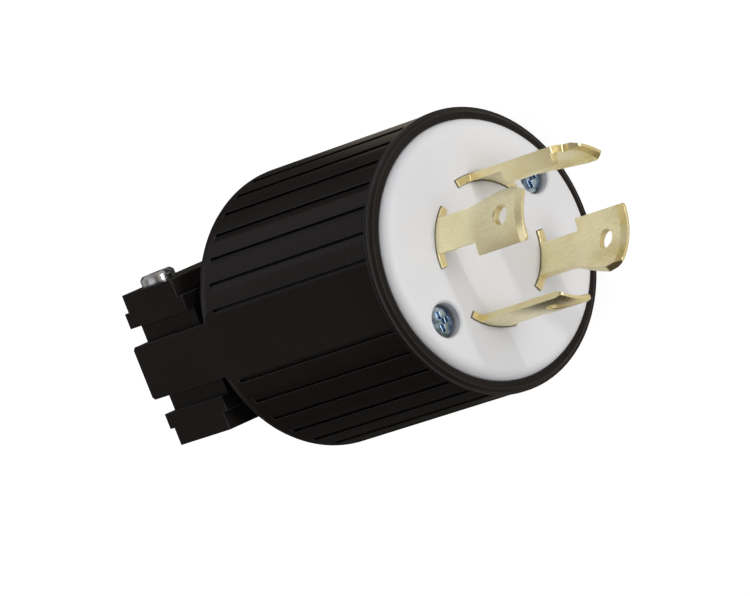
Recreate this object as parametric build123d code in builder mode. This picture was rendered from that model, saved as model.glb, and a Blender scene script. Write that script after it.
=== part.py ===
from build123d import *
import math
import os

# Four-blade locking plug for a flexible cord, in millimetres.
# +X runs along the plug's axis towards the blade tips and the origin is the centre of the flat
# mating face. The plug lies on one of its flat side panels, so +Z is up through the other panel,
# and the jaws of the cord clamp close along Y.

# Housing
body_radius = 28.4
body_rear_x = -60.0
rim_x = -2.0                 # front edge of the black rim, behind the mating face
rim_drop = 0.2
rim_bevel = 0.7
rim_wall = 2.05
bead_width = 0.9
bead_proud = 0.2
shoulder_radius = 5.5
wall = 3.0
rear_wall = 6.0
cord_hole_radius = 14.0
panel_cut = 1.0              # depth of the flat side panels below the round

# Grip ribs
groove_first_angle = 15.2    # from the middle of a side panel to the first groove
grooves_per_quarter = 8
groove_front_gap = 1.6
groove_rear_gap = 1.2
groove_width = 0.5
groove_depth = 0.7
flank_width = 1.9
flank_depth = 0.28

# White face
face_edge = 2.4              # width of the domed edge
face_rear_x = -6.0
face_clearance = 0.15
screw_inset = 5.8            # from the housing's inside to the middle of a long screw
screw_angles = (-61.7, 118.3)
recess_radius = 3.5
recess_depth = 4.0
recess_bevel = 0.4
face_screw_radius = 1.9
face_screw_head_radius = 3.0
face_screw_head_height = 1.9
face_screw_length = 28.0
boss_radius = 4.0
boss_length = 28.0
screw_clearance = 0.25

# Blades
blade_thickness = 1.45
hot_radius = 13.85
ground_radius = 14.85
neutral_radius = 15.7
hot_x_angle = 62.5
hot_y_angle = -120.0
ground_angle = -27.5
neutral_angle = 157.0
lock_x = 11.75               # the locking step, measured from the mating face
hot_tip_x = 26.0
ground_tip_x = 28.8
neutral_tip_x = 24.6
neck_half = 3.6
base_half = 6.2
base_height = 0.5
hot_lock_side = 6.2
hot_x_ramp_side = 5.15
hot_y_ramp_side = 7.2
ramp_lead = 1.5              # the ramp starts this far behind the locking step
ramp_radius = 8.0
hot_x_land = 4.0             # straight run between the ramp and the tip's corner
hot_y_land = 0.6
tip_corner_x = 3.3
tip_corner_y = 1.0
tip_radius = 0.9
lock_radius = 0.4
neutral_half = 4.1
neutral_neck_side = 2.4
neutral_base_side = 5.0
ground_base_side = 8.9
ground_lip_side = 5.7
ground_tip_side = 2.4
ground_ramp_side = 5.5
ground_land = 3.0
ground_corner_x = 2.0
hole_radius = 1.9
hole_edge = 0.25
hole_from_tip = 6.1
tip_bevel = 1.6
tip_bevel_depth = 0.45
lip_depth = 3.7
lip_rear_x = 9.8
lip_front_gap = 3.6          # from the ground blade's tip back to the front of its lip
lip_bend = 0.6
lip_corner = 1.2
slot_clearance = 0.12
wedge_near = 0.6             # a blade's outline is cut from this share of its radius to beyond it
wedge_far = 1.02

# Terminals behind the face
block_flange = 3.0
block_clearance = 2.0
block_rear_x = -28.0
block_core_radius = 12.0
block_seat_width = 9.4
block_bore_radius = 4.0
block_bore_depth = 14.0
fin_reach = 14.6
fin_thickness = 2.2
stem_half = 3.8
stem_rear_x = -26.0
terminal_x = -20.5
terminal_screw_radius = 1.9
terminal_screw_head_radius = 3.5
terminal_screw_head_height = 2.2
terminal_screw_depth = 5.0
plate_side = 8.0
plate_thickness = 1.3
seat_gap = 0.03

# Cord clamp, sized from the plug's axis outwards
jaw_body_gap = 3.0
jaw_length = 18.7
jaw_end_step = 1.3
jaw_inset = 2.2
jaw_inner_y = 3.2
jaw_ledge_y = 9.1
jaw_step_y = 12.3
jaw_top_y = 16.0
jaw_arm_clearance = 0.4
saddle_radius = 11.0
saddle_groove_width = 2.0
saddle_groove_depth = 0.8
saddle_groove_spacing = 7.3
clamp_screw_inset = 5.0
clamp_screw_offset = 1.45    # behind the jaw's middle
clamp_screw_radius = 2.0
clamp_screw_tip_gap = 1.4
clamp_head_radius = 3.6
clamp_head_height = 2.0
clamp_head_crown = 0.6
nut_side = 7.0
nut_height = 3.0
nut_clearance = 0.2
drive_width = 1.1
drive_depth = 1.0
drive_reach = 1.4

# Clamp arms
arm_setback = 1.1
arm_height = 11.2
arm_thickness = 3.6
arm_chamfer = 0.6
key_width = 3.0
key_depth = 1.5
key_setback = 5.0

os.makedirs("parts", exist_ok=True)

# Sizes that follow from the ones above
cavity_radius = body_radius - wall
rim_radius = body_radius - rim_drop
bead_radius = body_radius + bead_proud
seat_radius = rim_radius - rim_wall
face_radius = seat_radius - face_clearance
panel_z = body_radius - panel_cut
groove_front_x = rim_x - groove_front_gap
groove_rear_x = body_rear_x + shoulder_radius + groove_rear_gap
screw_circle_radius = cavity_radius - screw_inset
block_front_x = face_rear_x
boss_front_x = block_front_x - block_flange
lip_front_x = ground_tip_x - lip_front_gap
jaw_front_x = body_rear_x - jaw_body_gap
jaw_rear_x = jaw_front_x - jaw_length
jaw_mid_x = (jaw_rear_x + jaw_front_x) / 2
jaw_half_width = panel_z - jaw_inset
arm_inner_z = panel_z - arm_thickness
jaw_inner_half = arm_inner_z - jaw_arm_clearance
arm_rear_x = jaw_rear_x + arm_setback
key_x = jaw_front_x - key_setback
clamp_screw_x = jaw_mid_x - clamp_screw_offset
clamp_screw_z = jaw_half_width - clamp_screw_inset
clamp_screw_spots = [(clamp_screw_x, -clamp_screw_z), (clamp_screw_x, clamp_screw_z)]


def polar(radius, angle):
    """Y and Z of a point at a radius and an angle about the plug's axis."""
    turn = math.radians(angle)
    return radius * math.cos(turn), radius * math.sin(turn)


def radial_plane(angle, radius=0.0):
    """A plane that faces outwards at an angle: its x runs along +X and its y against the angle."""
    y, z = polar(radius, angle)
    ny, nz = polar(1.0, angle)
    return Plane(origin=(0, y, z), x_dir=(1, 0, 0), z_dir=(0, ny, nz))


def clamp_plane(y):
    """A plane that faces +Y, the way the upper jaw opens: its x runs along +X."""
    return Plane(origin=(0, y, 0), x_dir=(1, 0, 0), z_dir=(0, 1, 0))


def save(part, name):
    """Labels one finished piece and writes it."""
    part.label = name
    export_step(part, f"parts/{name}.step")


# Black housing: turned shell, flat side panels, clamp arms and screw bosses
with BuildPart() as body_shell:
    with BuildSketch(Plane.XY):
        with BuildLine():
            Polyline(
                (face_rear_x, seat_radius),
                (rim_x, seat_radius),
                (rim_x, rim_radius - rim_bevel),
                (rim_x - rim_bevel, rim_radius),
                (rim_x - rim_bevel, bead_radius),
                (rim_x - rim_bevel - bead_width, bead_radius),
                (rim_x - rim_bevel - bead_width, body_radius),
                (body_rear_x + shoulder_radius, body_radius),
            )
            RadiusArc(
                (body_rear_x + shoulder_radius, body_radius),
                (body_rear_x, body_radius - shoulder_radius),
                -shoulder_radius,
            )
            Polyline(
                (body_rear_x, body_radius - shoulder_radius),
                (body_rear_x, cord_hole_radius),
                (body_rear_x + rear_wall, cord_hole_radius),
                (body_rear_x + rear_wall, cavity_radius - shoulder_radius),
                (body_rear_x + rear_wall + shoulder_radius, cavity_radius),
                (face_rear_x, cavity_radius),
                (face_rear_x, seat_radius),
            )
        make_face()
    revolve(axis=Axis.X)
    # Flat side panels
    for side in (-1, 1):
        with BuildSketch(Plane.XY.offset(side * panel_z)):
            with Locations(((groove_front_x + body_rear_x) / 2, 0)):
                Rectangle(groove_front_x - body_rear_x, 2 * body_radius)
        extrude(amount=side * wall, mode=Mode.SUBTRACT)
    # Arms that carry on from the panels, with a groove inside that guides the jaws
    for side in (-1, 1):
        with BuildSketch(Plane.XY.offset(side * panel_z)):
            with BuildLine():
                Polyline(
                    (body_rear_x + rear_wall, arm_height / 2),
                    (arm_rear_x + arm_chamfer, arm_height / 2),
                    (arm_rear_x, arm_height / 2 - arm_chamfer),
                    (arm_rear_x, arm_chamfer - arm_height / 2),
                    (arm_rear_x + arm_chamfer, -arm_height / 2),
                    (body_rear_x + rear_wall, -arm_height / 2),
                    close=True,
                )
            make_face()
        extrude(amount=-side * arm_thickness)
        with BuildSketch(Plane.XY.offset(side * arm_inner_z)):
            with Locations((key_x, 0)):
                Rectangle(key_width + 2 * jaw_arm_clearance, arm_height)
        extrude(amount=side * key_depth, mode=Mode.SUBTRACT)
    # Bosses for the two long screws, each with a web out to the wall
    for angle in screw_angles:
        with BuildSketch(Plane.YZ.offset(boss_front_x)):
            with Locations(polar(screw_circle_radius, angle)):
                Circle(boss_radius)
            with Locations(polar((screw_circle_radius + cavity_radius + wall / 2) / 2, angle)):
                Rectangle(cavity_radius + wall / 2 - screw_circle_radius, boss_radius, rotation=angle)
        extrude(amount=-boss_length)
        with BuildSketch(Plane.YZ.offset(boss_front_x)):
            with Locations(polar(screw_circle_radius, angle)):
                Circle(face_screw_radius + seat_gap)
        extrude(amount=-boss_length, mode=Mode.SUBTRACT)
    # Grip grooves: a narrow slot with a sloping flank on the side towards the panel
    with BuildSketch(Plane.YZ.offset(groove_front_x)):
        with PolarLocations(body_radius, grooves_per_quarter, start_angle=groove_first_angle - 90,
                            angular_range=90 - groove_first_angle, endpoint=True):
            Polygon(
                (groove_depth, groove_width / 2),
                (-groove_depth, groove_width / 2),
                (-groove_depth, -groove_width / 2),
                (-flank_depth, -groove_width / 2),
                (0, -flank_width),
                (groove_depth, -flank_width),
                align=None,
            )
        mirror(about=Plane.YZ)
        mirror(about=Plane.XZ)
    extrude(amount=groove_rear_x - groove_front_x, mode=Mode.SUBTRACT)
save(body_shell.part, "body_shell")


def bevelled_tube(radius, front_x):
    """The tube that blades of one radius are pressed out of, its front end bevelled both sides."""
    inner_radius = radius - blade_thickness
    with BuildPart() as tube:
        with BuildSketch(Plane.XY):
            with BuildLine():
                Polyline(
                    (stem_rear_x, inner_radius),
                    (front_x - tip_bevel, inner_radius),
                    (front_x, inner_radius + tip_bevel_depth),
                    (front_x, radius - tip_bevel_depth),
                    (front_x - tip_bevel, radius),
                    (stem_rear_x, radius),
                    close=True,
                )
            make_face()
        revolve(axis=Axis.X)
    return tube.part


def radial_wedge(angle, radius, corners):
    """A solid with an outline whose sides run to the plug's axis, as on a strip that was rolled.

    The corners list (x, y, corner radius), y against the angle and measured at the radius.
    """
    with BuildPart() as wedge:
        for distance in (wedge_near * radius, wedge_far * radius):
            with BuildSketch(radial_plane(angle, distance)):
                with BuildLine():
                    FilletPolyline(
                        *[(x, y * distance / math.sqrt(radius ** 2 - y ** 2)) for x, y, _ in corners],
                        radius=[corner for _, _, corner in corners],
                        close=True,
                    )
                make_face()
        loft(ruled=True)
    return wedge.part


def blade(angle, radius, low_base, high_base, low_neck, high_neck, outline, tip_x):
    """One arc-formed blade: its outline, pressed out of a thin tube.

    The outline lists (x, y, corner radius) from the neck's high side, round the tip, to the
    neck's low side. The wide base and the hidden stem with its screw hole are added to it.
    """
    corners = [
        (stem_rear_x, stem_half, 0),
        (face_rear_x, stem_half, 0),
        (face_rear_x, high_base, 0),
        (base_height, high_base, 0),
        (base_height, high_neck, 0),
        *outline,
        (base_height, low_neck, 0),
        (base_height, low_base, 0),
        (face_rear_x, low_base, 0),
        (face_rear_x, -stem_half, 0),
        (stem_rear_x, -stem_half, 0),
    ]
    wedge = radial_wedge(angle, radius, corners)
    tube = bevelled_tube(radius, tip_x)
    with BuildPart() as strip:
        add(wedge)
        add(tube, mode=Mode.INTERSECT)
        with BuildSketch(radial_plane(angle)):
            with Locations((terminal_x, 0)):
                Circle(terminal_screw_radius + screw_clearance)
        extrude(amount=radius, mode=Mode.SUBTRACT)
    return strip.part


def punched(part, angle, radius, hole_x):
    """A blade with its round hole, the outer edge of the hole countersunk."""
    with BuildPart() as holed:
        add(part)
        with BuildSketch(radial_plane(angle)):
            with Locations((hole_x, 0)):
                Circle(hole_radius)
        extrude(amount=radius, mode=Mode.SUBTRACT)
        with Locations(radial_plane(angle, radius) * Pos(hole_x, 0)):
            Cone(hole_radius, hole_radius + 2 * hole_edge, 2 * hole_edge, mode=Mode.SUBTRACT)
    return holed.part


# Two hot blades: square locking step on one side, long ramp on the other
hot_blades = [
    ("hot_blade_x", hot_x_angle, hot_x_ramp_side, hot_x_land),
    ("hot_blade_y", hot_y_angle, hot_y_ramp_side, hot_y_land),
]
for name, angle, ramp_side, land in hot_blades:
    hot_outline = [
        (lock_x - ramp_lead, neck_half, ramp_radius),
        (hot_tip_x - tip_corner_x - land, ramp_side, 2 * land),
        (hot_tip_x - tip_corner_x, ramp_side, tip_radius),
        (hot_tip_x, ramp_side - tip_corner_y, tip_radius),
        (hot_tip_x, -hot_lock_side, tip_radius),
        (lock_x, -hot_lock_side, lock_radius),
        (lock_x, -neck_half, lock_radius),
    ]
    hot_blade = blade(angle, hot_radius, -base_half, base_half, -neck_half, neck_half,
                      hot_outline, hot_tip_x)
    save(punched(hot_blade, angle, hot_radius, hot_tip_x - hole_from_tip), name)

# Neutral blade: straight on one side, a smaller locking step on the other
neutral_outline = [
    (neutral_tip_x, neutral_half, tip_radius),
    (neutral_tip_x, -neutral_half, tip_radius),
    (lock_x, -neutral_half, lock_radius),
    (lock_x, -neutral_neck_side, lock_radius),
]
neutral_blade = blade(neutral_angle, neutral_radius, -neutral_base_side, base_half,
                      -neutral_neck_side, neutral_half, neutral_outline, neutral_tip_x)
save(punched(neutral_blade, neutral_angle, neutral_radius, neutral_tip_x - hole_from_tip),
     "neutral_blade")

# Ground blade: the longest, without a hole, with a lip bent inwards along its locking side
ground_outline = [
    (lock_x - ramp_lead, neck_half, ramp_radius),
    (ground_tip_x - ground_corner_x - ground_land, ground_ramp_side, 2 * ground_land),
    (ground_tip_x - ground_corner_x, ground_ramp_side, tip_radius),
    (ground_tip_x, ground_ramp_side - tip_corner_y, tip_radius),
    (ground_tip_x, tip_corner_y - ground_tip_side, tip_radius),
    (ground_tip_x - ground_corner_x, -ground_tip_side, tip_radius),
    (lip_front_x, -ground_tip_side, lock_radius),
    (lip_front_x, -ground_lip_side, lock_radius),
]
lip_angle = ground_angle + math.degrees(math.asin(ground_lip_side / ground_radius))
lip_face = (0, *polar(1.0, lip_angle + 90))
ground_strip = blade(ground_angle, ground_radius, -ground_base_side, base_half,
                     -ground_lip_side, neck_half, ground_outline, ground_tip_x)
with BuildPart() as ground_blade:
    add(ground_strip)
    with BuildSketch(Plane(origin=(0, 0, 0), x_dir=(1, 0, 0), z_dir=lip_face)):
        with BuildLine():
            FilletPolyline(
                (lip_rear_x, ground_radius - lip_bend),
                (lip_rear_x, ground_radius - lip_depth),
                (lip_front_x - lock_radius, ground_radius - lip_depth),
                (lip_front_x - lock_radius, ground_radius - lip_bend),
                radius=[0, lip_corner, lip_corner, 0],
                close=True,
            )
        make_face()
    extrude(amount=-blade_thickness)
save(ground_blade.part, "ground_blade")


def blade_slot(angle, radius, low_y, high_y, rear_x, front_x):
    """The cut that a blade passes through, with clearance all round."""
    corners = [
        (rear_x, low_y - slot_clearance, 0),
        (front_x, low_y - slot_clearance, 0),
        (front_x, high_y + slot_clearance, 0),
        (rear_x, high_y + slot_clearance, 0),
    ]
    wedge = radial_wedge(angle, radius, corners)
    with BuildPart() as cut:
        add(wedge)
        with BuildSketch(Plane.YZ.offset(rear_x)):
            Circle(radius + slot_clearance)
            Circle(radius - blade_thickness - slot_clearance, mode=Mode.SUBTRACT)
        extrude(amount=front_x - rear_x, mode=Mode.INTERSECT)
    return cut.part


blade_bases = [
    (hot_x_angle, hot_radius, -base_half, base_half),
    (hot_y_angle, hot_radius, -base_half, base_half),
    (neutral_angle, neutral_radius, -neutral_base_side, base_half),
    (ground_angle, ground_radius, -ground_base_side, base_half),
]
base_slots = [
    blade_slot(angle, radius, low_y, high_y, face_rear_x, 0)
    for angle, radius, low_y, high_y in blade_bases
]
stem_slots = [
    blade_slot(angle, radius, -stem_half, stem_half, boss_front_x, block_front_x)
    for angle, radius, _, _ in blade_bases
]

# White face: domed edge, blade slots and two screw recesses
with BuildPart() as face_plate:
    with BuildSketch(Plane.XY):
        with BuildLine():
            Polyline(
                (rim_x, face_radius),
                (face_rear_x, face_radius),
                (face_rear_x, 0),
                (0, 0),
                (0, face_radius - face_edge),
            )
            TangentArc((0, face_radius - face_edge), (rim_x, face_radius), tangent=(0, 1))
        make_face()
    revolve(axis=Axis.X)
    add(base_slots, mode=Mode.SUBTRACT)
    for angle in screw_angles:
        with Locations(Plane.YZ * Pos(*polar(screw_circle_radius, angle))):
            CounterBoreHole(face_screw_radius + screw_clearance, recess_radius, recess_depth)
        with Locations(Plane.YZ * Pos(*polar(screw_circle_radius, angle))):
            Cone(recess_radius, recess_radius + 2 * recess_bevel, 2 * recess_bevel, mode=Mode.SUBTRACT)
save(face_plate.part, "face_plate")

# Terminal block behind the face: flange, core with a seat for each blade, and dividing fins
blade_turns = sorted(angle % 360 for angle, _, _, _ in blade_bases)
next_turns = blade_turns[1:] + [blade_turns[0] + 360]
with BuildPart() as terminal_block:
    with BuildSketch(Plane.YZ.offset(block_front_x)):
        Circle(cavity_radius - block_clearance)
    extrude(amount=-block_flange)
    with BuildSketch(Plane.YZ.offset(block_front_x)):
        Circle(block_core_radius)
        for this_turn, next_turn in zip(blade_turns, next_turns):
            fin_angle = (this_turn + next_turn) / 2
            with Locations(polar(fin_reach / 2, fin_angle)):
                Rectangle(fin_reach, fin_thickness, rotation=fin_angle)
    extrude(amount=block_rear_x - block_front_x)
    for angle, radius, _, _ in blade_bases:
        blade_seat_radius = radius - blade_thickness - seat_gap
        with BuildSketch(Plane.YZ.offset(block_front_x)):
            Circle(blade_seat_radius)
            with Locations(polar(blade_seat_radius / 2, angle)):
                Rectangle(blade_seat_radius, block_seat_width, rotation=angle, mode=Mode.INTERSECT)
        extrude(amount=block_rear_x - block_front_x)
    with BuildSketch(Plane.YZ.offset(block_rear_x)):
        Circle(block_bore_radius)
    extrude(amount=block_bore_depth, mode=Mode.SUBTRACT)
    add(stem_slots, mode=Mode.SUBTRACT)
    for angle, radius, _, _ in blade_bases:
        with BuildSketch(radial_plane(angle, radius)):
            with Locations((terminal_x, 0)):
                Circle(terminal_screw_radius + screw_clearance)
        extrude(amount=-blade_thickness - terminal_screw_depth - screw_clearance, mode=Mode.SUBTRACT)
    for angle in screw_angles:
        with BuildSketch(Plane.YZ.offset(block_front_x)):
            with Locations(polar(screw_circle_radius, angle)):
                Circle(face_screw_radius + screw_clearance)
        extrude(amount=-block_flange, mode=Mode.SUBTRACT)
save(terminal_block.part, "terminal_block")

# Terminal screws and the square plates that press the wires
terminals = [
    ("hot_x", hot_x_angle, hot_radius),
    ("hot_y", hot_y_angle, hot_radius),
    ("neutral", neutral_angle, neutral_radius),
    ("ground", ground_angle, ground_radius),
]
for name, angle, radius in terminals:
    with BuildPart() as pressure_plate:
        with BuildSketch(radial_plane(angle, radius + seat_gap)):
            with Locations((terminal_x, 0)):
                Rectangle(plate_side, plate_side)
                Circle(terminal_screw_radius + screw_clearance, mode=Mode.SUBTRACT)
        extrude(amount=plate_thickness)
    save(pressure_plate.part, f"{name}_pressure_plate")
    head_seat = radius + plate_thickness + 2 * seat_gap
    with BuildPart() as terminal_screw:
        with BuildSketch(radial_plane(angle, head_seat)):
            with Locations((terminal_x, 0)):
                Circle(terminal_screw_head_radius)
        extrude(amount=terminal_screw_head_height)
        with BuildSketch(radial_plane(angle, head_seat)):
            with Locations((terminal_x, 0)):
                Circle(terminal_screw_radius)
        extrude(amount=radius - head_seat - blade_thickness - terminal_screw_depth)
        with BuildSketch(radial_plane(angle, head_seat + terminal_screw_head_height)):
            with Locations((terminal_x, 0)):
                Rectangle(2 * terminal_screw_head_radius, drive_width)
        extrude(amount=-drive_depth, mode=Mode.SUBTRACT)
    save(terminal_screw.part, f"{name}_terminal_screw")

# Two long screws through the face
with BuildPart() as face_screws:
    for angle in screw_angles:
        with BuildSketch(Plane.YZ.offset(-recess_depth)):
            with Locations(polar(screw_circle_radius, angle)):
                Circle(face_screw_head_radius)
        extrude(amount=face_screw_head_height)
        with BuildSketch(Plane.YZ.offset(-recess_depth)):
            with Locations(polar(screw_circle_radius, angle)):
                Circle(face_screw_radius)
        extrude(amount=-face_screw_length)
        with BuildSketch(Plane.YZ.offset(face_screw_head_height - recess_depth)):
            with Locations(polar(screw_circle_radius, angle)):
                for turn in (0, 90):
                    Rectangle(face_screw_head_radius * drive_reach, drive_width, rotation=turn)
        extrude(amount=-drive_depth, mode=Mode.SUBTRACT)
save(face_screws.part, "face_screws")


def clamp_jaw():
    """The upper jaw of the cord clamp: stepped block, keys, round saddle and screw holes."""
    with BuildPart() as jaw:
        with BuildSketch(Plane.XY):
            with BuildLine():
                Polyline(
                    (jaw_rear_x + jaw_end_step, jaw_inner_y),
                    (jaw_rear_x + jaw_end_step, jaw_ledge_y),
                    (jaw_rear_x, jaw_ledge_y),
                    (jaw_rear_x, jaw_step_y),
                    (jaw_rear_x + jaw_end_step, jaw_step_y),
                    (jaw_rear_x + jaw_end_step, jaw_top_y),
                    (jaw_front_x - jaw_end_step, jaw_top_y),
                    (jaw_front_x - jaw_end_step, jaw_step_y),
                    (jaw_front_x, jaw_step_y),
                    (jaw_front_x, jaw_inner_y),
                    close=True,
                )
            make_face()
        extrude(amount=jaw_half_width, both=True)
        # The inner part is narrower, to run between the arms, with a key in each arm's groove
        for side in (-1, 1):
            with BuildSketch(clamp_plane(jaw_inner_y)):
                with Locations((jaw_mid_x, side * (jaw_half_width + jaw_inner_half) / 2)):
                    Rectangle(jaw_length, jaw_half_width - jaw_inner_half)
            extrude(amount=jaw_ledge_y - jaw_inner_y, mode=Mode.SUBTRACT)
            with BuildSketch(clamp_plane(jaw_inner_y)):
                with Locations((key_x, side * (jaw_inner_half + key_depth / 2))):
                    Rectangle(key_width, key_depth)
            extrude(amount=arm_height / 2 - jaw_arm_clearance - jaw_inner_y)
        with BuildSketch(Plane.YZ.offset(jaw_rear_x)):
            Circle(saddle_radius)
        extrude(amount=jaw_length, mode=Mode.SUBTRACT)
        for groove_side in (-1, 1):
            groove_x = jaw_mid_x + groove_side * saddle_groove_spacing / 2
            with BuildSketch(Plane.YZ.offset(groove_x - saddle_groove_width / 2)):
                Circle(saddle_radius + saddle_groove_depth)
            extrude(amount=saddle_groove_width, mode=Mode.SUBTRACT)
        with BuildSketch(clamp_plane(jaw_top_y)):
            with Locations(clamp_screw_spots):
                Circle(clamp_screw_radius + screw_clearance)
        extrude(amount=-jaw_top_y, mode=Mode.SUBTRACT)
    return jaw.part


# Cord clamp: two jaws, the lower one with pockets for square nuts
upper_jaw = clamp_jaw()
save(upper_jaw, "upper_jaw")
with BuildPart() as lower_jaw:
    mirror(upper_jaw, about=Plane.XZ)
    with BuildSketch(clamp_plane(-jaw_top_y)):
        with Locations(clamp_screw_spots):
            Rectangle(nut_side + 2 * nut_clearance, nut_side + 2 * nut_clearance)
    extrude(amount=nut_height + nut_clearance, mode=Mode.SUBTRACT)
save(lower_jaw.part, "lower_jaw")

with BuildPart() as clamp_nuts:
    with BuildSketch(clamp_plane(nut_height + nut_clearance - jaw_top_y)):
        with Locations(clamp_screw_spots):
            Rectangle(nut_side, nut_side)
            Circle(clamp_screw_radius + screw_clearance, mode=Mode.SUBTRACT)
    extrude(amount=-nut_height)
save(clamp_nuts.part, "clamp_nuts")

with BuildPart() as clamp_screws:
    with BuildSketch(clamp_plane(jaw_top_y)):
        with Locations(clamp_screw_spots):
            Circle(clamp_head_radius)
    extrude(amount=clamp_head_height)
    chamfer(clamp_screws.edges().group_by(Axis.Y)[-1], clamp_head_crown)
    with BuildSketch(clamp_plane(jaw_top_y)):
        with Locations(clamp_screw_spots):
            Circle(clamp_screw_radius)
    extrude(amount=clamp_screw_tip_gap - 2 * jaw_top_y)
    with BuildSketch(clamp_plane(jaw_top_y + clamp_head_height)):
        with Locations(clamp_screw_spots):
            Rectangle(2 * clamp_head_radius, drive_width)
            Rectangle(drive_width, clamp_head_radius * drive_reach)
    extrude(amount=-drive_depth, mode=Mode.SUBTRACT)
save(clamp_screws.part, "clamp_screws")
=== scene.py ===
"""Dresses the locking plug: a finish for every moulded, pressed and plated piece, rolled threads on
the clamp screws, and a plain studio with the photograph's camera."""
import logging
import math
from dataclasses import dataclass
from enum import Enum
from typing import Any, Union

import bpy
from mathutils import Matrix, Vector


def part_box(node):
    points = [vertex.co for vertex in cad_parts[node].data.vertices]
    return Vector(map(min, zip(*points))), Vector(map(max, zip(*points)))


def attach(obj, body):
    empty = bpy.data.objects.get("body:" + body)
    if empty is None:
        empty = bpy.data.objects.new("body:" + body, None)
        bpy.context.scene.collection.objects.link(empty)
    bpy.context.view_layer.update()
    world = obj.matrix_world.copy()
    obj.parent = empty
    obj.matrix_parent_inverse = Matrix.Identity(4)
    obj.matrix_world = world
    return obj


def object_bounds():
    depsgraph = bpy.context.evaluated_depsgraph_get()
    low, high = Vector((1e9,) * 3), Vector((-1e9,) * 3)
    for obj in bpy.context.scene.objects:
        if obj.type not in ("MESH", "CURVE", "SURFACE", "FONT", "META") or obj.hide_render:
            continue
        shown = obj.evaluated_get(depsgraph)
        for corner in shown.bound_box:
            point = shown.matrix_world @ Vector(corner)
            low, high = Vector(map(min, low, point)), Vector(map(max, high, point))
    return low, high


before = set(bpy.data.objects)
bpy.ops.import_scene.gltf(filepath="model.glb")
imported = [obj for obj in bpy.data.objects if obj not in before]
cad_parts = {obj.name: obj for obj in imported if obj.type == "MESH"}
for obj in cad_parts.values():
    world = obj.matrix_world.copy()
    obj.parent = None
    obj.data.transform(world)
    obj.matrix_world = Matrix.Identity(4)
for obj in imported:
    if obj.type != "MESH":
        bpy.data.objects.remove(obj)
cad_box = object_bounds()

log = logging.getLogger("plug")

Triple = tuple[float, float, float]
Colour = Triple
Span = tuple[float, float]
Input = Union["Value", float, Triple]

MM = 0.001
WHITE: Colour = (1.0, 1.0, 1.0)
EVENLY: Triple = (1.0, 1.0, 1.0)


class Value:
    """One output of a shader node, with operators that add Math nodes to its graph."""

    def __init__(self, graph: "Graph", socket: bpy.types.NodeSocket | None) -> None:
        """Keeps the socket and the graph that it belongs to."""
        self.graph = graph
        self.socket = socket

    def math(self, operation: str, *others: Input) -> "Value":
        """Adds one Math node that starts from this value.

        Args:
            operation: The Math node's operation.
            others: The values of its other inputs.

        Returns:
            The node's result.
        """
        inputs = dict(enumerate((self, *others)))
        return self.graph.node("ShaderNodeMath", {"operation": operation}, inputs)

    def reflected(self, operation: str, first: Input) -> "Value":
        """Adds one Math node with a plain number before this value."""
        return self.graph.node("ShaderNodeMath", {"operation": operation}, {0: first, 1: self})

    def __add__(self, other: Input) -> "Value":
        """This value plus another."""
        return self.math("ADD", other)

    def __radd__(self, other: Input) -> "Value":
        """A number plus this value."""
        return self.reflected("ADD", other)

    def __sub__(self, other: Input) -> "Value":
        """This value less another."""
        return self.math("SUBTRACT", other)

    def __rsub__(self, other: Input) -> "Value":
        """A number less this value."""
        return self.reflected("SUBTRACT", other)

    def __mul__(self, other: Input) -> "Value":
        """This value times another."""
        return self.math("MULTIPLY", other)

    def __rmul__(self, other: Input) -> "Value":
        """A number times this value."""
        return self.reflected("MULTIPLY", other)

    def __lt__(self, other: Input) -> "Value":
        """1 where this value is the smaller, and else 0."""
        return self.math("LESS_THAN", other)

    def larger(self, other: Input) -> "Value":
        """The larger of this value and another."""
        return self.math("MAXIMUM", other)

    def size(self) -> "Value":
        """This value without its sign."""
        return self.math("ABSOLUTE")

    def swing(self) -> "Value":
        """A value that runs from 0 to 1, moved to lie evenly about 0."""
        return self - 0.5

    def ramp(self, span: Span) -> "Value":
        """Runs smoothly from 0 at the span's start to 1 at its end."""
        settings = {"interpolation_type": "SMOOTHSTEP"}
        return self.graph.node("ShaderNodeMapRange", settings, {0: self, 1: span[0], 2: span[1]})


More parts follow.
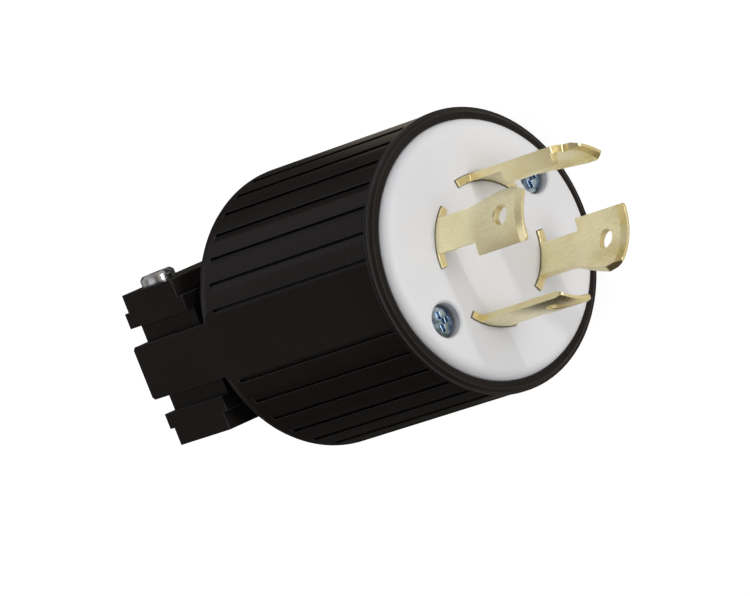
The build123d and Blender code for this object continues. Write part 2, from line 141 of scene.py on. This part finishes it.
class Graph:
    """The nodes of one material or world."""

    edge_span: Span = (0.008, 0.15)
    edge_samples: int = 6
    # Settings of the mask for painted shade in hollows.
    hollow_shade_span: Span = (0.18, 0.62)
    hollow_shade_samples: int = 8

    def __init__(self, tree: bpy.types.NodeTree) -> None:
        """Starts from an empty tree."""
        self.tree = tree
        tree.nodes.clear()

    def node(
        self,
        kind: str,
        settings: dict[str, Any] | None = None,
        inputs: dict[str | int, Input] | None = None,
        out: str | int = 0,
    ) -> Value:
        """Adds one node.

        Args:
            kind: The node's type.
            settings: What is set on the node first, such as its operation.
            inputs: The number, colour or link of each input, by name or number.
            out: The output that is wanted.

        Returns:
            That output.
        """
        made = self.tree.nodes.new(kind)
        for name, setting in (settings or {}).items():
            setattr(made, name, setting)
        for name, given in (inputs or {}).items():
            self.feed(made.inputs[name], given)
        return Value(self, made.outputs[out] if made.outputs else None)

    def feed(self, socket: bpy.types.NodeSocket, given: Input) -> None:
        """Links a value to a socket, or writes a number, vector or colour on it.

        Args:
            socket: The input that is fed.
            given: What it gets.
        """
        if isinstance(given, Value):
            self.tree.links.new(given.socket, socket)
        elif socket.type == "RGBA":
            socket.default_value = (*given, 1.0)
        else:
            socket.default_value = given

    def place(self, stretch: Triple = EVENLY) -> Value:
        """The place on the piece, in metres of the part's frame.

        Args:
            stretch: How much it is stretched along each axis.

        Returns:
            The stretched place.
        """
        point = self.node("ShaderNodeTexCoord", out="Object")
        if stretch == EVENLY:
            return point
        return self.node("ShaderNodeMapping", inputs={"Vector": point, "Scale": stretch})

    def noise(self, grain: float, detail: float = 2.0, stretch: Triple = EVENLY) -> Value:
        """Cloudy noise from 0 to 1.

        Args:
            grain: The size of its clouds, in metres.
            detail: How many finer layers it has.
            stretch: How much its coordinates are stretched along each axis.

        Returns:
            The noise.
        """
        inputs = {"Vector": self.place(stretch), "Scale": 1.0 / grain, "Detail": detail}
        return self.node("ShaderNodeTexNoise", {}, inputs)

    def mix(self, factor: Input, first: Input, second: Input) -> Value:
        """Mixes two colours."""
        settings = {"data_type": "RGBA", "clamp_factor": True}
        return self.node("ShaderNodeMix", settings, {0: factor, 6: first, 7: second}, out=2)

    def dot(self, first: Input, second: Input) -> Value:
        """The dot product of two vectors."""
        settings = {"operation": "DOT_PRODUCT"}
        return self.node("ShaderNodeVectorMath", settings, {0: first, 1: second}, out="Value")

    def rounded(self, radius: float) -> Value:
        """The surface's normal, with sharp edges rounded to a radius in metres."""
        return self.node("ShaderNodeBevel", {"samples": self.edge_samples}, {"Radius": radius})

    def edge(self, radius: float) -> Value:
        """A mask that is 1 on sharp edges, over a band of that radius in metres."""
        true = self.node("ShaderNodeNewGeometry", out="Normal")
        return (1.0 - self.dot(self.rounded(radius), true)).ramp(self.edge_span)

    def hollow_shade(self, reach: float) -> Value:
        """A mask of painted shade, which is 1 deep in grooves and corners.

        Args:
            reach: How far from a point the walls around it count, in metres.

        Returns:
            The mask.
        """
        settings = {"samples": self.hollow_shade_samples}
        open_share = self.node("ShaderNodeAmbientOcclusion", settings, {"Distance": reach}, out="AO")
        return (1.0 - open_share).ramp(self.hollow_shade_span)

    def specks(self, spacing: float, radius: float, share: float) -> Value:
        """A mask of small scattered specks.

        Args:
            spacing: How far apart the cells of the scatter are, in metres.
            radius: A speck's radius, in metres.
            share: The share of cells that have a speck.

        Returns:
            The mask.
        """
        inputs = {"Vector": self.place(), "Scale": 1.0 / spacing}
        near = self.node("ShaderNodeTexVoronoi", {}, inputs, out="Distance")
        tone = self.node("ShaderNodeTexVoronoi", {}, inputs, out="Color")
        pick = self.node("ShaderNodeSeparateColor", {}, {0: tone}, out="Red")
        return (near < radius / spacing) * (pick < share)

    def relief(self, height: Value, depth: float, strength: float, edge_radius: float) -> Value:
        """The normal of a surface with fine relief and rounded edges.

        Args:
            height: The relief, from 0 to 1.
            depth: How deep it is, in metres.
            strength: The share of it that shows.
            edge_radius: The radius of the rounded edges, in metres.

        Returns:
            The normal.
        """
        inputs = {"Strength": strength, "Distance": depth, "Height": height,
                  "Normal": self.rounded(edge_radius)}
        return self.node("ShaderNodeBump", {}, inputs, out="Normal")

    def ray(self, kind: str) -> Value:
        """1 for rays of one kind, by its name on the Light Path node, and else 0."""
        return self.node("ShaderNodeLightPath", out=kind)

    def seen(self) -> Value:
        """1 for rays that come from the camera, straight or through a clear piece, and else 0."""
        return self.ray("Is Camera Ray").larger(self.ray("Is Transmission Ray"))

    def surface(self, inputs: dict[str | int, Input]) -> None:
        """Ends the material with one Principled shader."""
        shader = self.node("ShaderNodeBsdfPrincipled", {}, inputs)
        self.node("ShaderNodeOutputMaterial", {}, {"Surface": shader})


def new_material(name: str) -> tuple[bpy.types.Material, Graph]:
    """Makes an empty node material.

    Args:
        name: The material's name.

    Returns:
        The material and its graph.
    """
    material = bpy.data.materials.new(name)
    material.use_nodes = True
    return material, Graph(material.node_tree)


@dataclass(frozen=True)
class MouldedPlastic:
    """Injection-moulded nylon: a faint orange peel, worn edges with a painted highlight, painted shade in
    hollows and some dust.
    """

    name: str
    colour: Colour
    cloud_colour: Colour
    # The colour of rubbed edges, which also serves as a painted highlight.
    edge_wear_and_highlight_colour: Colour
    dust_colour: Colour
    # The colour of the painted shade in hollows comes further down.
    hollow_shade_colour: Colour
    roughness: float
    shine: float = 0.5
    cloud_grain: float = 22 * MM
    cloud_detail: float = 4.0
    cloud_span: Span = (0.35, 0.65)
    cloud_roughness: float = 0.06
    edge_radius: float = 0.30 * MM
    edge_share: float = 0.6
    edge_polish: float = 0.05
    dust_share: float = 0.03
    dust_spacing: float = 3.2 * MM
    dust_radius: float = 0.11 * MM
    dust_roughness: float = 0.3
    # How far the painted shade in hollows reaches.
    hollow_shade_reach: float = 1.2 * MM
    peel_grain: float = 1.4 * MM
    peel_height: float = 0.7
    grit_grain: float = 0.35 * MM
    grit_height: float = 0.3
    grit_roughness: float = 0.10
    relief_depth: float = 0.012 * MM
    relief_strength: float = 0.6

    def material(self) -> bpy.types.Material:
        """Builds the node material.

        Returns:
            The material.
        """
        material, graph = new_material(self.name)
        cloud = graph.noise(self.cloud_grain, self.cloud_detail).ramp(self.cloud_span)
        peel = graph.noise(self.peel_grain)
        grit = graph.noise(self.grit_grain)
        edge = graph.edge(self.edge_radius)
        dust = graph.specks(self.dust_spacing, self.dust_radius, self.dust_share)
        tone = graph.mix(cloud, self.colour, self.cloud_colour)
        # Edges lightened towards the edge colour: partly rubbed wear, partly a painted highlight along sharp
        # edges.
        tone = graph.mix(edge * self.edge_share, tone, self.edge_wear_and_highlight_colour)
        tone = graph.mix(dust, tone, self.dust_colour)
        # Painted shade: grooves, corners and the foot of walls are darkened towards the hollow colour.
        tone = graph.mix(graph.hollow_shade(self.hollow_shade_reach), tone, self.hollow_shade_colour)
        rough = self.roughness + cloud.swing() * self.cloud_roughness + grit.swing() * self.grit_roughness
        rough = rough - edge * self.edge_polish + dust * self.dust_roughness
        height = peel * self.peel_height + grit * self.grit_height
        graph.surface({
            "Base Color": tone,
            "Roughness": rough,
            "Specular IOR Level": self.shine,
            "Normal": graph.relief(height, self.relief_depth, self.relief_strength, self.edge_radius),
        })
        return material


@dataclass(frozen=True)
class StampedBrass:
    """Rolled brass strip: fine lines along its length, dull sheared edges and a faint tarnish."""

    name: str
    colour: Colour
    tarnish_colour: Colour
    shear_colour: Colour
    roughness: float
    cloud_grain: float = 7 * MM
    cloud_detail: float = 3.0
    cloud_span: Span = (0.35, 0.7)
    cloud_tarnish: float = 0.38
    streak_grain: float = 1.1 * MM
    streak_stretch: Triple = (0.06, 1.0, 1.0)
    streak_tarnish: float = 0.28
    streak_height: float = 0.3
    speckle_grain: float = 0.28 * MM
    speckle_span: Span = (0.3, 0.7)
    speckle_tarnish: float = 0.18
    speckle_roughness: float = 0.05
    line_grain: float = 0.16 * MM
    line_detail: float = 3.0
    line_stretch: Triple = (0.02, 1.0, 1.0)
    line_height: float = 0.7
    line_roughness: float = 0.16
    shear_span: Span = (0.35, 0.75)
    shear_share: float = 0.14
    shear_roughness: float = 0.06
    edge_radius: float = 0.12 * MM
    edge_share: float = 0.5
    relief_depth: float = 0.006 * MM
    relief_strength: float = 0.35

    def material(self) -> bpy.types.Material:
        """Builds the node material.

        Returns:
            The material.
        """
        material, graph = new_material(self.name)
        lines = graph.noise(self.line_grain, self.line_detail, self.line_stretch)
        streaks = graph.noise(self.streak_grain, stretch=self.streak_stretch)
        cloud = graph.noise(self.cloud_grain, self.cloud_detail).ramp(self.cloud_span)
        speckle = graph.noise(self.speckle_grain).ramp(self.speckle_span)
        edge = graph.edge(self.edge_radius)
        sheared = self.sheared(graph)
        tarnish = cloud * self.cloud_tarnish + streaks * self.streak_tarnish + speckle * self.speckle_tarnish
        tone = graph.mix(tarnish, self.colour, self.tarnish_colour)
        tone = graph.mix(sheared * self.shear_share, tone, self.shear_colour)
        tone = graph.mix(edge * self.edge_share, tone, self.colour)
        rough = self.roughness + lines.swing() * self.line_roughness
        rough = rough + speckle.swing() * self.speckle_roughness + sheared * self.shear_roughness
        height = lines * self.line_height + streaks * self.streak_height
        graph.surface({
            "Base Color": tone,
            "Metallic": 1.0,
            "Roughness": rough,
            "Normal": graph.relief(height, self.relief_depth, self.relief_strength, self.edge_radius),
        })
        return material

    def sheared(self, graph: Graph) -> Value:
        """A mask that is 1 on the strip's sheared edges, which don't face to or from the plug's axis.

        Args:
            graph: The graph that it is added to.

        Returns:
            The mask.
        """
        normal = graph.node("ShaderNodeTexCoord", out="Normal")
        across = graph.node("ShaderNodeVectorMath", {"operation": "MULTIPLY"},
                            {0: graph.place(), 1: (0.0, 1.0, 1.0)})
        outward = graph.node("ShaderNodeVectorMath", {"operation": "NORMALIZE"}, {0: across})
        return 1.0 - graph.dot(normal, outward).size().ramp(self.shear_span)


@dataclass(frozen=True)
class PlatedMetal:
    """A small plated piece: bright, faintly cloudy, with fine scuffs and softer edges."""

    name: str
    colour: Colour
    cloud_colour: Colour
    roughness: float
    cloud_grain: float = 1.6 * MM
    cloud_detail: float = 3.0
    cloud_span: Span = (0.3, 0.7)
    cloud_roughness: float = 0.06
    scuff_grain: float = 0.22 * MM
    scuff_detail: float = 3.0
    scuff_stretch: Triple = (1.0, 0.25, 1.0)
    scuff_roughness: float = 0.14
    edge_radius: float = 0.15 * MM
    edge_share: float = 0.4
    relief_depth: float = 0.008 * MM
    relief_strength: float = 0.4

    def material(self) -> bpy.types.Material:
        """Builds the node material.

        Returns:
            The material.
        """
        material, graph = new_material(self.name)
        cloud = graph.noise(self.cloud_grain, self.cloud_detail).ramp(self.cloud_span)
        scuffs = graph.noise(self.scuff_grain, self.scuff_detail, self.scuff_stretch)
        edge = graph.edge(self.edge_radius)
        tone = graph.mix(cloud, self.colour, self.cloud_colour)
        tone = graph.mix(edge * self.edge_share, tone, self.colour)
        rough = self.roughness + scuffs.swing() * self.scuff_roughness + cloud * self.cloud_roughness
        graph.surface({
            "Base Color": tone,
            "Metallic": 1.0,
            "Roughness": rough,
            "Normal": graph.relief(scuffs, self.relief_depth, self.relief_strength, self.edge_radius),
        })
        return material


class Finish(Enum):
    """The finishes of the plug."""

    BLACK_NYLON = MouldedPlastic(
        "black_nylon",
        colour=(0.0142, 0.0116, 0.0106),
        cloud_colour=(0.0162, 0.0136, 0.0126),
        edge_wear_and_highlight_colour=(0.115, 0.121, 0.133),
        # Light bluish edge lines: rubbed wear and a painted highlight.
        dust_colour=(0.16, 0.15, 0.14),
        # Near-black painted shade in the grooves.
        hollow_shade_colour=(0.002, 0.0012, 0.0008),
        roughness=0.32,
        shine=0.085,
    )
    WHITE_NYLON = MouldedPlastic(
        "white_nylon",
        colour=(0.72, 0.72, 0.735),
        cloud_colour=(0.69, 0.69, 0.708),
        edge_wear_and_highlight_colour=(0.74, 0.74, 0.755),
        dust_colour=(0.46, 0.45, 0.44),
        # Grey painted shade in hollows and at the foot of the domed edge.
        hollow_shade_colour=(0.36, 0.36, 0.375),
        roughness=0.42,
        shine=0.22,
        dust_share=0.012,
        hollow_shade_reach=2.2 * MM,
    )
    TERMINAL_PLASTIC = MouldedPlastic(
        "terminal_plastic",
        colour=(0.55, 0.52, 0.45),
        cloud_colour=(0.50, 0.47, 0.40),
        edge_wear_and_highlight_colour=(0.62, 0.59, 0.52),
        dust_colour=(0.30, 0.28, 0.25),
        # Painted shade in hollows.
        hollow_shade_colour=(0.34, 0.31, 0.26),
        roughness=0.45,
    )
    BLADE_BRASS = StampedBrass(
        "blade_brass",
        colour=(1.0, 0.94, 0.64),
        tarnish_colour=(0.86, 0.74, 0.40),
        shear_colour=(0.56, 0.42, 0.19),
        roughness=0.30,
    )
    BRASS_SCREW = PlatedMetal("brass_screw", (0.72, 0.56, 0.26), (0.60, 0.45, 0.20), roughness=0.30)
    NICKEL_SCREW = PlatedMetal("nickel_screw", (0.70, 0.68, 0.63), (0.60, 0.58, 0.54), roughness=0.25)
    GREEN_SCREW = PlatedMetal("green_screw", (0.06, 0.30, 0.12), (0.04, 0.22, 0.09), roughness=0.32)
    PLATED_STEEL = PlatedMetal("plated_steel", (0.60, 0.60, 0.58), (0.50, 0.50, 0.49), roughness=0.34)
    CLAMP_ZINC = PlatedMetal("clamp_zinc", (0.60, 0.62, 0.64), (0.40, 0.42, 0.45), roughness=0.26)
    ZINC_SCREW = PlatedMetal("zinc_screw", (0.52, 0.68, 0.88), (0.09, 0.15, 0.26), roughness=0.14)


class Paintbox:
    """Every finish, built once, ready to be put on pieces."""

    def __init__(self) -> None:
        """Builds all the finishes."""
        self.materials = {finish: finish.value.material() for finish in Finish}

    def put(self, piece: bpy.types.Object, finish: Finish) -> None:
        """Puts one finish all over a piece.

        Args:
            piece: The piece's object.
            finish: The finish that it gets.
        """
        piece.data.materials.clear()
        piece.data.materials.append(self.materials[finish])
        log.info("%s: %s", piece.name, finish.value.name)

    def put_on_nodes(self, names: tuple[str, ...], finish: Finish) -> None:
        """Puts one finish on several pieces that came over from CAD."""
        for name in names:
            self.put(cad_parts[name], finish)


@dataclass
class Housing:
    """The ribbed black drum with its two clamp arms."""

    paintbox: Paintbox
    shells: tuple[str, ...] = ("body_shell",)
    finish: Finish = Finish.BLACK_NYLON

    def build(self) -> None:
        """Dresses the drum."""
        self.paintbox.put_on_nodes(self.shells, self.finish)


@dataclass
class FrontFace:
    """The pale face and the two long screws that hold it."""

    paintbox: Paintbox
    plates: tuple[str, ...] = ("face_plate",)
    screws: tuple[str, ...] = ("face_screws",)
    plate_finish: Finish = Finish.WHITE_NYLON
    screw_finish: Finish = Finish.ZINC_SCREW

    def build(self) -> None:
        """Dresses the face and its screws."""
        self.paintbox.put_on_nodes(self.plates, self.plate_finish)
        self.paintbox.put_on_nodes(self.screws, self.screw_finish)


@dataclass
class BladeSet:
    """The four arc-formed contact blades."""

    paintbox: Paintbox
    blades: tuple[str, ...] = ("hot_blade_x", "hot_blade_y", "neutral_blade", "ground_blade")
    finish: Finish = Finish.BLADE_BRASS

    def build(self) -> None:
        """Dresses the blades."""
        self.paintbox.put_on_nodes(self.blades, self.finish)


@dataclass
class Terminals:
    """The insulator behind the face with its pressure plates and coloured terminal screws."""

    paintbox: Paintbox
    blocks: tuple[str, ...] = ("terminal_block",)
    poles: tuple[str, ...] = ("hot_x", "hot_y", "neutral", "ground")
    block_finish: Finish = Finish.TERMINAL_PLASTIC
    plate_finish: Finish = Finish.PLATED_STEEL
    screw_finishes: tuple[Finish, ...] = (
        Finish.BRASS_SCREW, Finish.BRASS_SCREW, Finish.NICKEL_SCREW, Finish.GREEN_SCREW)

    def build(self) -> None:
        """Dresses the block, the plates and the screws."""
        self.paintbox.put_on_nodes(self.blocks, self.block_finish)
        for pole, screw_finish in zip(self.poles, self.screw_finishes):
            self.paintbox.put_on_nodes((f"{pole}_pressure_plate",), self.plate_finish)
            self.paintbox.put_on_nodes((f"{pole}_terminal_screw",), screw_finish)


@dataclass
class CordClamp:
    """The two clamp jaws, their nuts and screws, and the thread rolled on each screw."""

    paintbox: Paintbox
    jaws: tuple[str, ...] = ("upper_jaw", "lower_jaw")
    hardware: tuple[str, ...] = ("clamp_screws", "clamp_nuts")
    body: str = "upper_clamp"
    jaw_finish: Finish = Finish.BLACK_NYLON
    finish: Finish = Finish.CLAMP_ZINC
    slot: str = "zinc_screw"
    thread_root: float = 1.92 * MM
    thread_crest: float = 2.20 * MM
    thread_pitch: float = 0.90 * MM
    thread_flank: float = 0.35
    thread_turns: int = 24
    thread_steps: int = 14
    smooth_angle: float = 35.0
    tip_gap: float = 0.5 * MM

    def build(self) -> None:
        """Dresses the clamp, winds a thread round the far screw and copies it to the near one."""
        self.paintbox.put_on_nodes(self.jaws, self.jaw_finish)
        self.paintbox.put_on_nodes(self.hardware, self.finish)
        low, high = (Vector(corner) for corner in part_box("clamp_screws"))
        head_radius = (high.x - low.x) / 2
        screw_z = high.z - head_radius
        place = Vector(((low.x + high.x) / 2, low.y + self.tip_gap, -screw_z))
        far_thread = self.wind_thread("far_thread", place)
        near_thread = self.copy_thread(far_thread, "near_thread", Vector((0.0, 0.0, 2 * screw_z)))
        for thread in (far_thread, near_thread):
            self.paintbox.put(thread, self.finish)
            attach(thread, self.body)

    def wind_thread(self, name: str, place: Vector) -> bpy.types.Object:
        """Winds one thread: a small diamond, turned round the screw's axis as it climbs.

        The diamond reaches from the root to the crest, and its half height is the flank's share of
        the pitch.

        Args:
            name: The thread's name.
            place: The middle of its lowest turn, on the screw's axis.

        Returns:
            The thread.
        """
        middle = (self.thread_root + self.thread_crest) / 2
        half = (self.thread_crest - self.thread_root) / 2
        bpy.ops.object.select_all(action="DESELECT")
        bpy.ops.mesh.primitive_circle_add(vertices=4, radius=half)
        thread = bpy.context.object
        thread.name = name
        bpy.ops.object.mode_set(mode="EDIT")
        bpy.ops.mesh.select_all(action="SELECT")
        bpy.ops.transform.resize(value=(1.0, self.thread_flank * self.thread_pitch / half, 1.0))
        bpy.ops.transform.translate(value=(middle, 0.0, 0.0))
        bpy.ops.object.mode_set(mode="OBJECT")
        winding = thread.modifiers.new("winding", "SCREW")
        winding.axis = "Y"
        winding.screw_offset = self.thread_pitch
        winding.iterations = self.thread_turns
        winding.steps = self.thread_steps
        winding.render_steps = self.thread_steps
        bpy.ops.object.modifier_apply(modifier=winding.name)
        bpy.ops.object.mode_set(mode="EDIT")
        bpy.ops.mesh.select_all(action="SELECT")
        bpy.ops.mesh.fill_holes(sides=0)
        bpy.ops.mesh.normals_make_consistent(inside=False)
        bpy.ops.transform.translate(value=place)
        bpy.ops.object.mode_set(mode="OBJECT")
        bpy.ops.object.shade_smooth_by_angle(angle=math.radians(self.smooth_angle))
        return thread

    def copy_thread(self, thread: bpy.types.Object, name: str, shift: Vector) -> bpy.types.Object:
        """Copies a thread, with a mesh of its own.

        Args:
            thread: The thread that is copied.
            name: The copy's name.
            shift: How far the copy lies from it.

        Returns:
            The copy.
        """
        copy = thread.copy()
        copy.name = name
        copy.data = thread.data.copy()
        copy.data.transform(Matrix.Translation(shift))
        bpy.context.scene.collection.objects.link(copy)
        return copy


@dataclass(frozen=True)
class Lamp:
    """One square soft lamp that points at the plug.

    The way says how far it hangs to the right of, above and in front of the picture's middle. A lamp
    that isn't mirrored lights the pieces and stays out of their reflections.
    """

    name: str
    way: Triple
    size: float
    watts: float
    mirrored: bool = True


@dataclass
class Studio:
    """A pale floor, soft lamps, a surround with one brighter side, and the photo's camera.

    The ways of the surround count to the right of, above and in front of the picture, as a lamp's
    does. The floor's own way lies in the part's frame: what the pieces mirror of the floor is a painted
    reflection, bright along it and dim behind, where the dim part is painted shade under the plug.
    """

    floor_z: float
    target: Triple = (-0.0170, -0.00085, 0.01777)
    azimuth: float = 93.72
    elevation: float = 40.18
    roll: float = -114.1
    distance: float = 1.7591
    focal_length: float = 435.08
    floor_size: float = 60.0
    floor_tone: float = 0.60
    floor_glow: float = 0.88
    floor_bounce: float = 0.30
    floor_mirrored: float = 0.9
    floor_dim: float = 0.04
    floor_bright: float = 0.65
    floor_way: Triple = (1.0, 0.20, 0.0)
    floor_span: Span = (-0.075, -0.03)
    floor_tint: Colour = (1.0, 0.90, 0.72)
    bright_way: Triple = (0.85, 0.45, 0.30)
    bright_span: Span = (-0.15, 0.9)
    bright_side: float = 0.72
    dim_side: float = 0.05
    dim_tint: Colour = (1.0, 0.76, 0.50)
    sheen_way: Triple = (-0.75, 0.35, -0.50)
    sheen_span: Span = (0.2, 0.95)
    sheen: float = 0.64
    lamps: tuple[Lamp, ...] = (
        Lamp("key", (0.15, 0.90, 0.65), 0.05, 2.1),
        Lamp("fill", (0.70, 0.23, 0.87), 0.5, 9.8),
        Lamp("top", (-0.77, -0.34, 0.71), 0.9, 2.2),
        Lamp("rear", (-0.66, -0.22, -0.82), 0.9, 8.0, mirrored=False),
    )

    def build(self) -> None:
        """Builds the whole studio."""
        self.build_floor()
        self.build_world()
        for lamp in self.lamps:
            self.build_lamp(lamp)
        self.build_camera()
        bpy.context.scene.view_settings.view_transform = "Standard"

    def build_floor(self) -> None:
        """A wide pale floor, white to the camera away from the plug's own shadow."""
        bpy.ops.object.select_all(action="DESELECT")
        bpy.ops.mesh.primitive_plane_add(size=self.floor_size)
        floor = bpy.context.object
        floor.name = "floor"
        floor.data.transform(Matrix.Translation((0.0, 0.0, self.floor_z)))
        material, graph = new_material("pale_floor")
        matte = graph.node("ShaderNodeBsdfDiffuse", {}, {"Color": (self.floor_tone,) * 3})
        light = graph.seen() * self.floor_glow + graph.ray("Is Diffuse Ray") * self.floor_bounce
        glow = graph.node("ShaderNodeEmission", {}, {"Strength": light})
        pale = graph.node("ShaderNodeAddShader", {}, {0: matte, 1: glow})
        # Painted reflection: glossy rays see the floor bright ahead of the plug and dim behind, as painted
        # shade under it.
        point = graph.node("ShaderNodeNewGeometry", out="Position")
        ahead = graph.dot(point, self.floor_way).ramp(self.floor_span)
        level = self.floor_dim + ahead * (self.floor_bright - self.floor_dim)
        painted_floor_reflection = graph.node("ShaderNodeEmission", {}, {"Color": self.floor_tint, "Strength": level})
        mirrored = graph.ray("Is Glossy Ray") * self.floor_mirrored
        shader = graph.node("ShaderNodeMixShader", {}, {0: mirrored, 1: pale, 2: painted_floor_reflection})
        graph.node("ShaderNodeOutputMaterial", {}, {"Surface": shader})
        floor.data.materials.append(material)

    def build_world(self) -> None:
        """A surround that is white to the camera, with a bright side and a sheen that pieces mirror."""
        world = bpy.data.worlds.new("surround")
        world.use_nodes = True
        bpy.context.scene.world = world
        graph = Graph(world.node_tree)
        seen = graph.seen()
        glossy = graph.ray("Is Glossy Ray")
        ways = graph.node("ShaderNodeTexCoord", out="Generated")
        bright = graph.dot(ways, self.view_way(self.bright_way)).ramp(self.bright_span)
        soft = self.dim_side + bright * (self.bright_side - self.dim_side)
        sheen = graph.dot(ways, self.view_way(self.sheen_way)).ramp(self.sheen_span) * glossy
        strength = seen + (1.0 - seen) * soft.larger(sheen * self.sheen)
        pale = (1.0 - glossy).larger(bright).larger(sheen)
        tint = graph.mix(pale, self.dim_tint, WHITE)
        shade = graph.node("ShaderNodeBackground", {}, {"Color": tint, "Strength": strength})
        graph.node("ShaderNodeOutputWorld", {}, {"Surface": shade})

    def build_lamp(self, lamp: Lamp) -> None:
        """Hangs one lamp.

        Args:
            lamp: What it is and where it hangs.
        """
        light = bpy.data.lights.new(lamp.name, "AREA")
        light.size = lamp.size
        light.energy = lamp.watts
        holder = bpy.data.objects.new(lamp.name, light)
        bpy.context.scene.collection.objects.link(holder)
        holder.visible_glossy = lamp.mirrored
        away = self.view_axes() @ Vector(lamp.way)
        holder.location = Vector(self.target) + away
        holder.rotation_euler = (-away).to_track_quat("-Z", "Y").to_euler()

    def view_axes(self) -> Matrix:
        """The picture's directions in the part's frame.

        Returns:
            The camera's right, up and backward directions, as columns.
        """
        turn = Matrix.Rotation(math.radians(self.azimuth), 3, "Z")
        tilt = Matrix.Rotation(math.radians(90.0 - self.elevation), 3, "X")
        roll = Matrix.Rotation(math.radians(self.roll), 3, "Z")
        return turn @ tilt @ roll

    def view_way(self, way: Triple) -> Triple:
        """A way of the picture as a unit vector in the part's frame."""
        return tuple((self.view_axes() @ Vector(way)).normalized())

    def build_camera(self) -> None:
        """Sets the camera where the photograph was taken from."""
        data = bpy.data.cameras.new("camera")
        data.sensor_fit = "HORIZONTAL"
        data.lens = self.focal_length
        holder = bpy.data.objects.new("camera", data)
        bpy.context.scene.collection.objects.link(holder)
        axes = self.view_axes()
        place = Vector(self.target) + axes.col[2] * self.distance
        holder.matrix_world = Matrix.Translation(place) @ axes.to_4x4()
        bpy.context.scene.camera = holder


def main() -> None:
    """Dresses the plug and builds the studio."""
    logging.basicConfig(level=logging.INFO)
    paintbox = Paintbox()
    for assembly in (Housing, FrontFace, BladeSet, Terminals, CordClamp):
        assembly(paintbox).build()
    Studio(floor_z=cad_box[0][2]).build()


if __name__ == "__main__":
    main()
